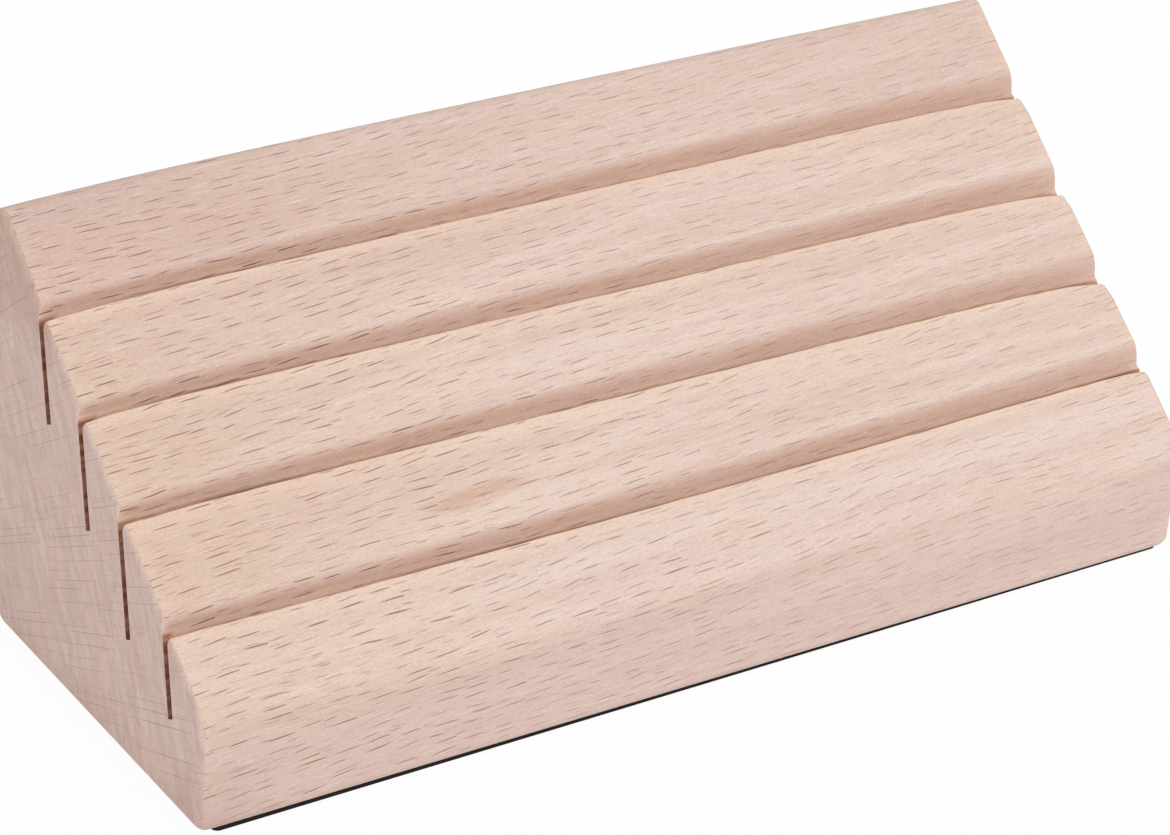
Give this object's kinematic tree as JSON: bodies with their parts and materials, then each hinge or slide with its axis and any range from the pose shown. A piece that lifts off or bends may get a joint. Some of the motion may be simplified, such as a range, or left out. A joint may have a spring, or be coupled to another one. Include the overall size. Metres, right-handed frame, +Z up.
{
  "type": "photo block holder",
  "caption": "Wedge of solid beech with leaning saw slots across its sloped front that hold photos or cards upright in tiers, standing on a thin black non-slip sheet.",
  "frame": {"origin": "on the table surface, under the middle of the block's length and depth", "axes": "+X along the block's length to the viewer's right, +Y from the low front to the high back, +Z up"},
  "size_m": [0.1498, 0.055, 0.0616],
  "materials": {
    "beech": "sanded, unvarnished beech",
    "adhesive": "thin cloudy adhesive film",
    "sheet": "matt black foam rubber"
  },
  "bodies": {
    "root": {"beech_block": "beech", "adhesive_film": "adhesive", "non_slip_sheet": "sheet"}
  },
  "joints": []
}
